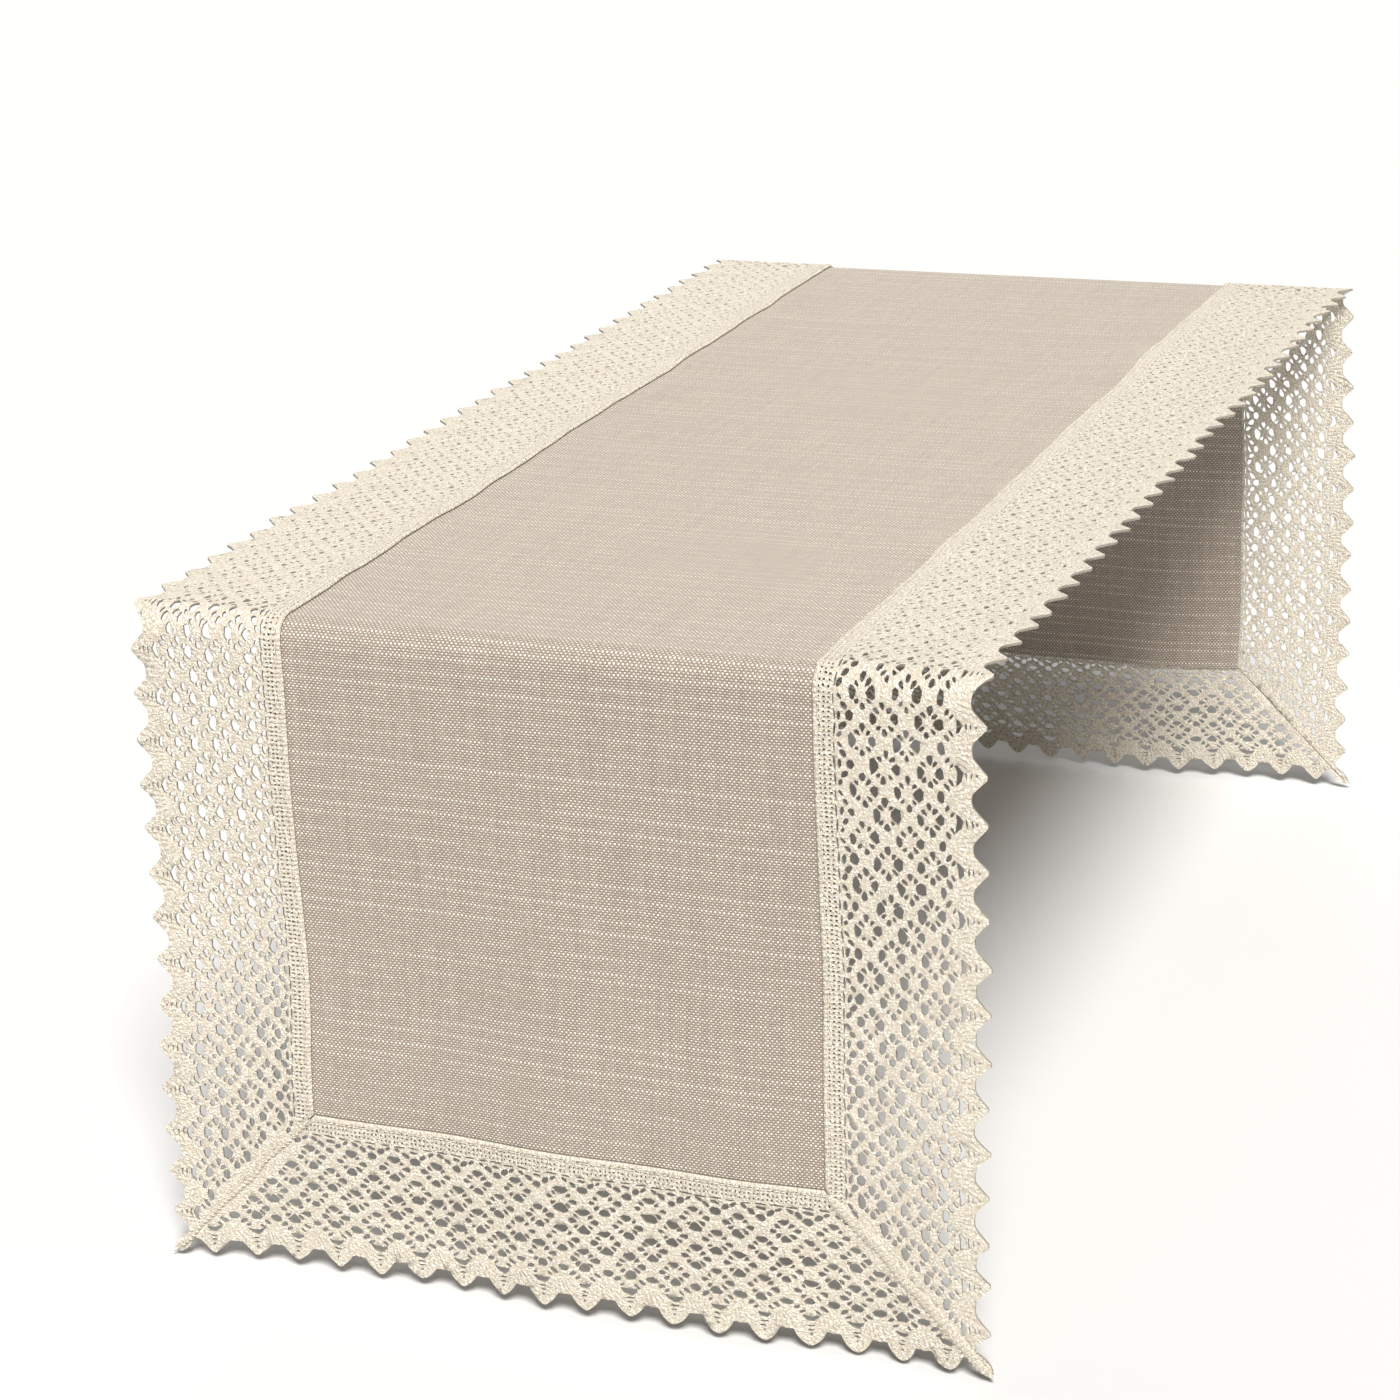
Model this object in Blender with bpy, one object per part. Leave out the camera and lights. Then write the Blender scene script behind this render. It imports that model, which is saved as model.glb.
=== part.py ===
"""Table runner draped over a table: a woven cloth panel inside a mitred, scalloped lace border.

Every piece is drawn flat, with x across the runner and s along it from its middle, and drape()
lays each point over the table: flat on its top, round its two edges and down the two drops.

Frame: metres, +Z up. The origin is on the cloth's underside at the middle of the top, where it
rests on the table. +X runs across the runner and +Y runs along it.
"""

import math

import bmesh
import bpy

# Driving dimensions, in metres unless the name says degrees.
RUNNER_WIDTH = 0.399  # lace tip to lace tip, laid flat
RUNNER_LENGTH = 1.344  # lace tip to lace tip, laid flat
TABLE_SPAN = 0.728  # the tabletop under the runner, from edge to edge
FOLD_RADIUS = 0.009  # underside of the cloth, round the table's edge
DROP_FLARE_DEGREES = 1.3  # how far each drop stands out from plumb
CLOTH_THICKNESS = 0.0008
LACE_WIDTH = 0.0765  # inner edge to scallop tip
LACE_THICKNESS = 0.0012
LACE_OVERLAP = 0.008  # how far the lace's inner edge lies over the cloth
SCALLOP_PITCH = 0.021  # rounded to a whole number of scallops on each side
SCALLOP_DEPTH = 0.0063  # valley to tip
THREAD_WIDTH = 0.0008
THREAD_HEIGHT = 0.0006
STITCH_INSET = 0.0025  # join stitching, from the lace's inner edge
OVERLOCK_WIDTH = 0.0012
MITRE_SEAM_WIDTH = 0.003
MITRE_SEAM_HEIGHT = 0.0012
CLEARANCE = 0.0003  # between pieces that touch

# How finely curves are divided.
FOLD_STEPS = 6
STEPS_PER_SCALLOP = 4

# Worked out from the driving dimensions.
HALF_WIDTH = RUNNER_WIDTH / 2
HALF_LENGTH = RUNNER_LENGTH / 2
LACE_INNER_X = HALF_WIDTH - LACE_WIDTH
LACE_INNER_S = HALF_LENGTH - LACE_WIDTH
CLOTH_HALF_WIDTH = LACE_INNER_X + LACE_OVERLAP
CLOTH_HALF_LENGTH = LACE_INNER_S + LACE_OVERLAP
HALF_TOP = TABLE_SPAN / 2 - FOLD_RADIUS
FOLD_TURN = math.radians(90 - DROP_FLARE_DEGREES)
FOLD_ARC = FOLD_RADIUS * FOLD_TURN
LACE_BOTTOM = CLOTH_THICKNESS + CLEARANCE
LACE_TOP = LACE_BOTTOM + LACE_THICKNESS
STITCH_BOTTOM = LACE_TOP + CLEARANCE
MITRE_GAP = CLEARANCE / math.sqrt(2)  # each strip's share of the gap, along its own edge

CLOTH_COLOUR = (0.50, 0.41, 0.34)
LACE_COLOUR = (0.86, 0.79, 0.65)
THREAD_COLOUR = (0.90, 0.84, 0.72)


def clear_scene():
    for thing in list(bpy.data.objects):
        bpy.data.objects.remove(thing, do_unlink=True)


def fabric_material(name, colour, roughness):
    material = bpy.data.materials.new(name)
    material.use_nodes = True
    shader = material.node_tree.nodes["Principled BSDF"]
    shader.inputs["Base Color"].default_value = (*colour, 1.0)
    shader.inputs["Roughness"].default_value = roughness
    shader.inputs["Metallic"].default_value = 0.0
    return material


def drape(x, s, height):
    """The draped place of a flat point (x, s) that lies height above the cloth's underside."""
    side = math.copysign(1.0, s)
    past_top = abs(s) - HALF_TOP
    if past_top <= 0:
        return (x, s, height)
    turn = min(past_top / FOLD_RADIUS, FOLD_TURN)
    down = max(past_top - FOLD_ARC, 0.0)
    reach = FOLD_RADIUS + height
    y = HALF_TOP + reach * math.sin(turn) + down * math.cos(turn)
    z = -FOLD_RADIUS + reach * math.cos(turn) - down * math.sin(turn)
    return (x, side * y, z)


def fold_stations():
    """Places along the runner where it bends: both ends of each fold and the steps between."""
    one_side = [HALF_TOP + FOLD_ARC * step / FOLD_STEPS for step in range(FOLD_STEPS + 1)]
    return [-s for s in one_side] + one_side


def scallop_count(length):
    return round(length / SCALLOP_PITCH)


def scallop_stations(length):
    """Evenly spaced places along an edge from corner to corner, measured from its middle."""
    steps = scallop_count(length) * STEPS_PER_SCALLOP
    return [length * (step / steps - 0.5) for step in range(steps + 1)]


def scallop_inset(along, length):
    """How far the scalloped edge lies inside its tips: pointed tips with round valleys."""
    phase = math.pi * scallop_count(length) * (along / length + 0.5)
    return SCALLOP_DEPTH * abs(math.sin(phase))


def clamp(value, limit):
    return max(-limit, min(limit, value))


def add_sheet(name, pairs, bottom, top, material):
    """One closed sheet draped over the table.

    Each pair holds the sheet's two edge points at one station, as flat (x, s) points. bottom and
    top are the heights of its two faces above the cloth's underside.
    """
    builder = bmesh.new()
    placed = {}

    def vertex(corner):
        if corner not in placed:
            point, height = corner
            placed[corner] = builder.verts.new(drape(*point, height))
        return placed[corner]

    def face(*corners):
        distinct = list(dict.fromkeys(vertex(corner) for corner in corners))
        if len(distinct) > 2:
            builder.faces.new(distinct)

    for (a, b), (c, d) in zip(pairs, pairs[1:]):
        face((a, top), (b, top), (d, top), (c, top))
        face((a, bottom), (c, bottom), (d, bottom), (b, bottom))
        face((a, bottom), (a, top), (c, top), (c, bottom))
        face((b, bottom), (d, bottom), (d, top), (b, top))
    for a, b in (pairs[0], pairs[-1]):
        face((a, bottom), (b, bottom), (b, top), (a, top))
    bmesh.ops.recalc_face_normals(builder, faces=builder.faces)

    mesh = bpy.data.meshes.new(name)
    builder.to_mesh(mesh)
    builder.free()
    mesh.materials.append(material)
    thing = bpy.data.objects.new(name, mesh)
    bpy.context.scene.collection.objects.link(thing)
    return thing


def lengthwise_stations(half_length):
    """Stations for a plain strip along the runner: its two ends and every fold between them."""
    return [-half_length] + sorted(fold_stations()) + [half_length]


def add_lengthwise_strip(name, x_low, x_high, half_length, bottom, top, material):
    pairs = [((x_low, s), (x_high, s)) for s in lengthwise_stations(half_length)]
    return add_sheet(name, pairs, bottom, top, material)


def add_crosswise_strip(name, s_low, s_high, half_width, bottom, top, material):
    pairs = [((x, s_low), (x, s_high)) for x in (-half_width, half_width)]
    return add_sheet(name, pairs, bottom, top, material)


def add_cloth_panel():
    material = fabric_material("woven_cloth", CLOTH_COLOUR, 0.9)
    add_lengthwise_strip(
        "cloth_panel",
        -CLOTH_HALF_WIDTH,
        CLOTH_HALF_WIDTH,
        CLOTH_HALF_LENGTH,
        0.0,
        CLOTH_THICKNESS,
        material,
    )


def add_side_lace(name, side):
    """A long lace strip, from corner to corner, cut at 45 degrees at both ends."""
    stations = sorted(scallop_stations(RUNNER_LENGTH) + fold_stations())
    pairs = []
    for s in stations:
        outer_x = side * (HALF_WIDTH - scallop_inset(s, RUNNER_LENGTH))
        outer = (outer_x, clamp(s, HALF_LENGTH - MITRE_GAP))
        inner = (side * LACE_INNER_X, clamp(s, LACE_INNER_S - MITRE_GAP))
        pairs.append((inner, outer))
    material = fabric_material(name, LACE_COLOUR, 0.85)
    add_sheet(name, pairs, LACE_BOTTOM, LACE_TOP, material)


def add_end_lace(name, side):
    """A short lace strip across one hem, cut at 45 degrees at both ends."""
    pairs = []
    for x in scallop_stations(RUNNER_WIDTH):
        outer_s = side * (HALF_LENGTH - scallop_inset(x, RUNNER_WIDTH))
        outer = (clamp(x, HALF_WIDTH - MITRE_GAP), outer_s)
        inner = (clamp(x, LACE_INNER_X - MITRE_GAP), side * LACE_INNER_S)
        pairs.append((inner, outer))
    material = fabric_material(name, LACE_COLOUR, 0.85)
    add_sheet(name, pairs, LACE_BOTTOM, LACE_TOP, material)


def add_mitre_seam(name, side_x, side_s):
    """The sewn ridge over one mitred corner, from the join stitching to just short of the tip."""
    start = STITCH_INSET + THREAD_WIDTH / 2 + CLEARANCE + MITRE_SEAM_WIDTH / 2
    end = LACE_WIDTH - MITRE_SEAM_WIDTH
    half = MITRE_SEAM_WIDTH / 2 / math.sqrt(2)
    pairs = []
    for out in (start, end):
        x = LACE_INNER_X + out
        s = LACE_INNER_S + out
        inner_side = (side_x * (x - half), side_s * (s + half))
        outer_side = (side_x * (x + half), side_s * (s - half))
        pairs.append((inner_side, outer_side))
    material = fabric_material(name, THREAD_COLOUR, 0.7)
    add_sheet(name, pairs, STITCH_BOTTOM, STITCH_BOTTOM + MITRE_SEAM_HEIGHT, material)


def add_join_stitches():
    """The rows of stitching that hold the lace's inner edge to the cloth."""
    top = STITCH_BOTTOM + THREAD_HEIGHT
    half = THREAD_WIDTH / 2
    row_x = LACE_INNER_X + STITCH_INSET
    row_s = LACE_INNER_S + STITCH_INSET
    side_half_length = row_s - half - CLEARANCE
    for word, side in (("left", -1), ("right", 1)):
        name = f"join_stitch_{word}"
        material = fabric_material(name, THREAD_COLOUR, 0.6)
        low, high = side * row_x - half, side * row_x + half
        add_lengthwise_strip(name, low, high, side_half_length, STITCH_BOTTOM, top, material)
    for word, side in (("near", -1), ("far", 1)):
        name = f"join_stitch_{word}"
        material = fabric_material(name, THREAD_COLOUR, 0.6)
        low, high = side * row_s - half, side * row_s + half
        add_crosswise_strip(name, low, high, row_x + half, STITCH_BOTTOM, top, material)


def add_edge_overlocks():
    """The overlock thread that binds the cloth's raw edges, hidden behind the lace."""
    reach = CLEARANCE + OVERLOCK_WIDTH
    for word, side in (("left", -1), ("right", 1)):
        name = f"edge_overlock_{word}"
        material = fabric_material(name, THREAD_COLOUR, 0.7)
        near_cloth = side * (CLOTH_HALF_WIDTH + CLEARANCE)
        outside = side * (CLOTH_HALF_WIDTH + reach)
        add_lengthwise_strip(
            name, near_cloth, outside, CLOTH_HALF_LENGTH, 0.0, CLOTH_THICKNESS, material
        )
    for word, side in (("near", -1), ("far", 1)):
        name = f"edge_overlock_{word}"
        material = fabric_material(name, THREAD_COLOUR, 0.7)
        near_cloth = side * (CLOTH_HALF_LENGTH + CLEARANCE)
        outside = side * (CLOTH_HALF_LENGTH + reach)
        half_width = CLOTH_HALF_WIDTH + reach
        add_crosswise_strip(
            name, near_cloth, outside, half_width, 0.0, CLOTH_THICKNESS, material
        )


def main():
    clear_scene()
    add_cloth_panel()
    add_side_lace("lace_left", -1)
    add_side_lace("lace_right", 1)
    add_end_lace("lace_near_end", -1)
    add_end_lace("lace_far_end", 1)
    for end_word, side_s in (("near", -1), ("far", 1)):
        for side_word, side_x in (("left", -1), ("right", 1)):
            add_mitre_seam(f"mitre_seam_{end_word}_{side_word}", side_x, side_s)
    add_join_stitches()
    add_edge_overlocks()


main()
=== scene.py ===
"""A woven table runner with a wide scalloped lace border, laid over a table so that both ends hang down.

Lengths are metres. X runs across the runner, Y along it and Z up, and the origin is on the cloth's
underside at the middle of the table top. Every piece is first drawn flat, as (across, along, height), and
hang() then carries it over the table's two rounded edges, so the pieces stay in register with each other.
"""

import math

import bpy
import numpy as np
from bpy.props import FloatProperty, FloatVectorProperty, IntProperty, PointerProperty
from mathutils import Matrix, Vector
from mathutils.geometry import delaunay_2d_cdt
from mathutils.kdtree import KDTree


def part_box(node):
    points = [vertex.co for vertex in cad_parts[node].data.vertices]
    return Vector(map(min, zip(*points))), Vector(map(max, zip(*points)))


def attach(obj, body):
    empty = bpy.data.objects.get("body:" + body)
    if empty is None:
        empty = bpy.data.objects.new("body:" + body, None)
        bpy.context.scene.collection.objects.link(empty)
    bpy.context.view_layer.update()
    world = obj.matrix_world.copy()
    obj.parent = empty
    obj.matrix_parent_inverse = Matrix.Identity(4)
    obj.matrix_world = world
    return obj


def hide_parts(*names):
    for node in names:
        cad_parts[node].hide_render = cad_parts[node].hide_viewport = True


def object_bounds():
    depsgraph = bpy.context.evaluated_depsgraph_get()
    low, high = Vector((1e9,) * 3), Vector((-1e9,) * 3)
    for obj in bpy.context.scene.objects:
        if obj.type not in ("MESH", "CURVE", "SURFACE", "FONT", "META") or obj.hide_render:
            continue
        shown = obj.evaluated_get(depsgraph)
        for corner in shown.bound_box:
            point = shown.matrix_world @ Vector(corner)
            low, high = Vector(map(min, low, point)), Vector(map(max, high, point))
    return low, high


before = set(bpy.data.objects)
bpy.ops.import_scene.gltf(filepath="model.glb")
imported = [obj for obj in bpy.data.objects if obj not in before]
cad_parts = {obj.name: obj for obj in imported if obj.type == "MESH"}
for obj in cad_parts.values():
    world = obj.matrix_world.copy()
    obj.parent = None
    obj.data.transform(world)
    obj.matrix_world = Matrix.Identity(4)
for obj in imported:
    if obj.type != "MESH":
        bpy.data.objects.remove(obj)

bl_info = {
    "name": "Lace Edged Table Runner",
    "version": (1, 0, 0),
    "blender": (4, 5, 0),
    "location": "3D View > Sidebar > Runner",
    "description": "Makes a slub cloth table runner with a mitred border of scalloped lace",
    "category": "Add Mesh",
}

CAD_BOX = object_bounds()
CLOTH_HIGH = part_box("cloth_panel")[1]
LACE_LOW, LACE_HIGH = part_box("lace_right")
STITCH_LOW, STITCH_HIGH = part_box("join_stitch_right")

HALF_WIDTH = LACE_HIGH.x  # middle of the runner to the scallop tips
LACE_INNER_X = LACE_LOW.x  # middle of the runner to the lace's inner edge
LACE_WIDTH = HALF_WIDTH - LACE_INNER_X
CLOTH_HALF_WIDTH = CLOTH_HIGH.x
CLOTH_THICKNESS = CLOTH_HIGH.z
LACE_THICKNESS = 0.0012
YARN_THICKNESS = 0.00160  # the worked yarn stands a little proud of the flat strip
LACE_UNDERSIDE = LACE_HIGH.z - LACE_THICKNESS
SEWN_DIP = 0.00022  # how far the lace's sewn edge is pulled down on the cloth
ROLLED_EDGE = 0.00070  # how far the very edge of the lace rolls down towards the cloth
HALF_LENGTH = 0.672  # middle of the runner to the end scallops, along the flat cloth
CLOTH_HALF_LENGTH = HALF_LENGTH - (HALF_WIDTH - CLOTH_HALF_WIDTH)
SIDE_SCALLOPS = 64
END_SCALLOPS = 19
PITCH = 2 * HALF_WIDTH / END_SCALLOPS  # from one scallop tip to the next
LACE_NODES = {"left": "lace_left", "right": "lace_right", "near": "lace_near_end", "far": "lace_far_end"}


# ---- what a user would change


def metres(name, description, default, least=0.0):
    """A length that a user can change."""
    return FloatProperty(name=name, description=description, default=default, min=least, unit="LENGTH")


def power(name, description, default):
    """The strength of a light that a user can change."""
    return FloatProperty(name=name, description=description, default=default, min=0.0)


def pigment(name, description, default):
    """A colour that a user can change."""
    return FloatVectorProperty(
        name=name, description=description, default=default, subtype="COLOR", size=3, min=0.0, max=1.0
    )


class DrapeSizes(bpy.types.PropertyGroup):
    """How the runner lies on its table."""

    table_span: metres("Table Span", "Width of the table top that the runner crosses", 0.728, 0.3)
    fold_radius: metres("Fold Radius", "Radius of the bend over the table's edge", 0.009, 0.002)
    drop_flare: FloatProperty(
        name="Drop Flare",
        description="How far the hanging ends lean out from upright",
        default=math.radians(1.3),
        subtype="ANGLE",
    )
    hem_wave: metres("Hem Wave", "Depth of the soft waves at the bottom of the hanging ends", 0.0026)
    pucker: metres("Pucker", "Height of the small puckers beside the seams on the table top", 0.0011)


class LaceSizes(bpy.types.PropertyGroup):
    """The bought lace strip: its repeat, its relief and its yarn."""

    scallop_depth: metres("Scallop Depth", "Height of one scallop from its valley to its tip", 0.0082)
    bar_rise: metres("Bar Rise", "How far from a hole's rim the lace reaches its full thickness", 0.0011)
    wobble: FloatProperty(
        name="Hole Wobble",
        description="Unevenness of the worked holes, as a share of their size",
        default=0.17,
        min=0.0,
        max=0.3,
    )
    yarn: pigment("Lace Yarn", "Colour of the cotton yarn", (0.91, 0.86, 0.75))
    # Painted shade: the colour mixed in where shade falls in the hollows between the yarn's loops.
    painted_loop_shade: pigment("Yarn Shade", "Colour of the yarn deeper between the loops", (0.58, 0.50, 0.395))


class ClothSizes(bpy.types.PropertyGroup):
    """The woven cloth in the middle."""

    warp_pitch: metres("Warp Pitch", "Spacing of the threads that run along the runner", 0.00102)
    weft_pitch: metres("Weft Pitch", "Spacing of the threads that cross the runner", 0.00117)
    ground: pigment("Ground Thread", "Colour of the lengthwise threads", (0.325, 0.270, 0.224))
    dash: pigment("Dash Thread", "Colour of the crossing threads", (0.93, 0.84, 0.72))
    slub_spacing: IntProperty(
        name="Slub Spacing",
        description="One crossing thread in this many swells into a pale slub",
        default=5,
        min=3,
        max=20,
    )


class SewingSizes(bpy.types.PropertyGroup):
    """Threads that hold the runner together."""

    stitch_length: metres("Stitch Length", "Length of one stitch that holds the lace", 0.0030, 0.001)
    thread_width: metres("Thread Width", "Thickness of the sewing thread", 0.0006)
    overlock_pitch: metres("Overlock Pitch", "Spacing of the loops round the raw edge", 0.0024, 0.001)
    whip_pitch: metres("Whip Stitch Pitch", "Spacing of the slanted stitches over each mitre", 0.0026, 0.001)


class StudioSettings(bpy.types.PropertyGroup):
    """Floor, light and camera."""

    key_light: power("Key Light", "Strength of the broad light in front and above", 4.9)
    back_light: power("Back Light", "Strength of the broad light behind", 1.0)
    sky: power("Surround", "Strength of the even light from all round", 0.13)
    floor_paint: pigment("Floor", "Colour of the plain floor", (0.71, 0.71, 0.71))
    seed: IntProperty(
        name="Seed",
        description="Starts the small unevenness of the hand-made look, the same each time",
        default=7,
    )


# ---- how the runner hangs


def smooth_step(low, high, value):
    """0 below low, 1 above high, and a smooth rise between."""
    t = np.clip((value - low) / (high - low), 0.0, 1.0)
    return t * t * (3.0 - 2.0 * t)


def wander(place, wavelength, seed):
    """A smooth uneven wave between about -1 and 1."""
    rng = np.random.default_rng(seed)
    total = np.zeros_like(place)
    shares = (1.0, 0.61, 0.37)
    for share in shares:
        turn = rng.uniform(0.0, 2.0 * math.pi)
        total = total + share * np.sin(2.0 * math.pi * place / (wavelength * share) + turn)
    return total / sum(shares)


def loft(across, along):
    """How far the runner stands off its plain path, so that it isn't as flat as a board.

    The ends hang in soft waves. On the table the cloth puckers beside the seams, the lace curls up a
    little towards its outer edge, and one low bulge stands in the right-hand lace.
    """
    sizes = bpy.context.scene.runner_drape
    half_top = sizes.table_span / 2 - sizes.fold_radius
    below = np.abs(along) - half_top
    fall = smooth_step(0.01, 0.24, below)
    side = np.where(along < 0, 0.0, 2.1)
    wave = np.sin(2 * math.pi * across / 0.235 + 0.9 + side)
    wave = wave + 0.45 * np.sin(2 * math.pi * across / 0.096 + 2.0 + 1.7 * side)
    hanging = sizes.hem_wave * fall * (wave + 0.3 * np.sin(2 * math.pi * below / 0.17))
    on_table = smooth_step(0.0, 0.05, -below)
    seam = np.exp(-(((np.abs(across) - LACE_INNER_X) / 0.020) ** 2))
    ruck = 0.5 + 0.5 * wander(along + 0.2 * across, 0.085, 11)
    lying = sizes.pucker * on_table * seam * ruck
    edge = smooth_step(LACE_INNER_X, HALF_WIDTH, np.abs(across))
    curl = 0.5 + 0.5 * wander(along * np.where(across < 0, 1.0, 1.13), 0.052, 23)
    lying = lying + 1.1 * sizes.pucker * on_table * edge * edge * curl
    bulge = np.exp(-(((across - 0.120) / 0.020) ** 2) - ((along - 0.17) / 0.060) ** 2)
    lying = lying + 2.2 * sizes.pucker * bulge
    return hanging + lying


def sway(across, along):
    """Small drifts in the plane of the cloth, which leave its seams a little uneven."""
    sideways = 0.0011 * wander(along, 0.33, 5) + 0.0007 * np.sign(across) * wander(along, 0.19, 6)
    lengthways = 0.0016 * wander(across, 0.31, 8) * smooth_step(0.36, 0.60, np.abs(along))
    return across + sideways, along + lengthways


def hang(across, along, height):
    """Flat places carried over the table's two edges. height is above the cloth's underside."""
    sizes = bpy.context.scene.runner_drape
    radius = sizes.fold_radius
    half_top = sizes.table_span / 2 - radius
    fold_turn = math.pi / 2 - sizes.drop_flare
    height = height + loft(across, along)
    across, along = sway(across, along)
    # The path goes flat, round a bend and then straight down, leaning out by the flare.
    past_top = np.abs(along) - half_top
    turn = np.clip(past_top / radius, 0.0, fold_turn)
    down = np.maximum(past_top - radius * fold_turn, 0.0)
    reach = radius + height
    y = np.minimum(np.abs(along), half_top) + reach * np.sin(turn) + down * np.cos(turn)
    z = reach * np.cos(turn) - radius - down * np.sin(turn)
    return np.stack([across, np.sign(along) * y, z], axis=1)


# ---- making meshes


SHARP_RIM = math.radians(80)  # faces that meet at more than this keep a crisp edge


def new_piece(name, node, places, faces, laid_flat, finish):
    """A mesh object that stands for one node, and remembers where each point lay on the flat cloth."""
    mesh = bpy.data.meshes.new(name)
    mesh.from_pydata(places.tolist(), [], faces)
    mesh.shade_smooth()
    mesh.set_sharp_from_angle(angle=SHARP_RIM)
    flat = mesh.attributes.new("laid_flat", "FLOAT_VECTOR", "POINT")
    flat.data.foreach_set("vector", np.ascontiguousarray(laid_flat, dtype=np.float32).ravel())
    mesh.materials.append(finish)
    piece = bpy.data.objects.new(name, mesh)
    bpy.context.scene.collection.objects.link(piece)
    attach(piece, "root")
    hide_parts(node)
    return piece


def rim_edges(faces):
    """The edges that only one face uses, each in that face's direction."""
    seen = {}
    for face in faces:
        for a, b in zip(face, face[1:] + face[:1]):
            if (b, a) in seen:
                del seen[(b, a)]
            else:
                seen[(a, b)] = True
    return list(seen)


def close_sheet(faces, count):
    """Faces of a closed sheet: the given faces on top, their copies below, and walls round every rim."""
    under = [tuple(count + i for i in reversed(face)) for face in faces]
    walls = [(b, a, count + a, count + b) for a, b in rim_edges(faces)]
    return faces + under + walls


def sheet_piece(name, node, top, under, faces, laid_flat, finish):
    """A closed sheet. The looks of its underside are taken a metre below those of its top."""
    below = laid_flat + np.array([0.0, 0.0, 1.0])
    places = np.concatenate([top, under])
    laid_flat = np.concatenate([laid_flat, below])
    return new_piece(name, node, places, close_sheet(faces, len(top)), laid_flat, finish)


def facing_up(flat_places, faces):
    """The faces turned so that they go round anticlockwise seen from above the flat cloth."""
    a, b, c = (flat_places[i] for i in faces[0][:3])
    if (b[0] - a[0]) * (c[1] - a[1]) - (b[1] - a[1]) * (c[0] - a[0]) > 0:
        return faces
    return [tuple(reversed(face)) for face in faces]


def unit(ways):
    """Directions, each made one long."""
    return ways / np.maximum(np.linalg.norm(ways, axis=1, keepdims=True), 1e-9)


def tube_along(path, width, height, sides):
    """Points and faces of a closed tube with an oval section. path is its middle, on the flat cloth."""
    count = len(path)
    ahead = unit(np.gradient(path, axis=0))
    sideways = unit(np.stack([ahead[:, 1], -ahead[:, 0], np.zeros(count)], axis=1))
    upward = np.cross(sideways, ahead)
    turns = (np.arange(sides) * 2 * math.pi / sides)[None, :, None]
    width, height = (np.broadcast_to(size, (count,))[:, None, None] for size in (width, height))
    ring = sideways[:, None, :] * (np.cos(turns) * width / 2)
    ring = ring + upward[:, None, :] * (np.sin(turns) * height / 2)
    points = (path[:, None, :] + ring).reshape(-1, 3)
    faces = []
    for i in range(count - 1):
        for j in range(sides):
            k = (j + 1) % sides
            faces.append((i * sides + j, i * sides + k, (i + 1) * sides + k, (i + 1) * sides + j))
    faces.append(tuple(reversed(range(sides))))
    faces.append(tuple((count - 1) * sides + j for j in range(sides)))
    return points, faces


# ---- node recipes


class Recipe:
    """The nodes of one finish, added one after another."""

    def __init__(self, name):
        self.material = bpy.data.materials.new(name)
        self.material.use_nodes = True
        self.tree = self.material.node_tree
        self.tree.nodes.clear()
        self.shader = self.add("ShaderNodeBsdfPrincipled")
        self.add("ShaderNodeOutputMaterial", {"Surface": self.shader.outputs["BSDF"]})

    def add(self, kind, inputs=(), **settings):
        """A node with its settings, and its inputs given by place."""
        made = self.tree.nodes.new(kind)
        for key, value in settings.items():
            setattr(made, key, value)
        self.feed(made, dict(inputs))
        return made

    def feed(self, node, inputs):
        """Joins a node's inputs to sockets, or sets them to values."""
        for place, value in inputs.items():
            if isinstance(value, bpy.types.NodeSocket):
                self.tree.links.new(value, node.inputs[place])
            else:
                node.inputs[place].default_value = value

    def maths(self, operation, first, second=0.0, third=0.0, clamp=False):
        """The outcome of one Math node."""
        given = {0: first, 1: second, 2: third}
        return self.add("ShaderNodeMath", given, operation=operation, use_clamp=clamp).outputs[0]

    def times(self, first, second, clamp=False):
        return self.maths("MULTIPLY", first, second, clamp=clamp)

    def times_plus(self, first, second, third, clamp=False):
        """first times second, plus third."""
        return self.maths("MULTIPLY_ADD", first, second, third, clamp)

    def flat_place(self):
        """Where the shaded point lay on the flat cloth: the place, and its two numbers."""
        flat = self.add("ShaderNodeAttribute", attribute_name="laid_flat").outputs["Vector"]
        split = self.add("ShaderNodeSeparateXYZ", {0: flat})
        return flat, split.outputs[0], split.outputs[1]

    def joined(self, x, y, z=0.0):
        return self.add("ShaderNodeCombineXYZ", {0: x, 1: y, 2: z}).outputs[0]

    def noise(self, place, scale, detail=2.0, roughness=0.5):
        given = {"Vector": place, "Scale": scale, "Detail": detail, "Roughness": roughness}
        return self.add("ShaderNodeTexNoise", given).outputs["Fac"]

    def ramp(self, value, low, high):
        """0 to 1 as value goes from low to high, which may be the smaller of the two."""
        given = {0: value, 1: low, 2: high}
        return self.add("ShaderNodeMapRange", given, interpolation_type="SMOOTHSTEP").outputs[0]

    def blend(self, share, first, second):
        """A colour between two. The node's sockets 6 and 7 are the ones for colours."""
        given = {0: share, 6: first, 7: second}
        return self.add("ShaderNodeMix", given, data_type="RGBA").outputs[2]

    def chance(self, value):
        """A random number from 0 to 1 for each whole number."""
        return self.add("ShaderNodeTexWhiteNoise", {"W": value}, noise_dimensions="1D").outputs[0]

    def finish(self, colour, roughness, relief, depth, sheen):
        """Joins the colour, roughness and relief to the shader."""
        bump = self.add("ShaderNodeBump", {"Height": relief, "Distance": depth, "Strength": 1.0})
        given = {
            "Base Color": colour,
            "Roughness": roughness,
            "Normal": bump.outputs[0],
            "Sheen Weight": sheen,
            "Sheen Roughness": 0.5,
            "Sheen Tint": (1.0, 0.93, 0.83, 1.0),
            "Specular IOR Level": 0.25,
        }
        self.feed(self.shader, given)
        return self.material


def rgba(colour, share=1.0):
    return (colour[0] * share, colour[1] * share, colour[2] * share, 1.0)


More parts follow.
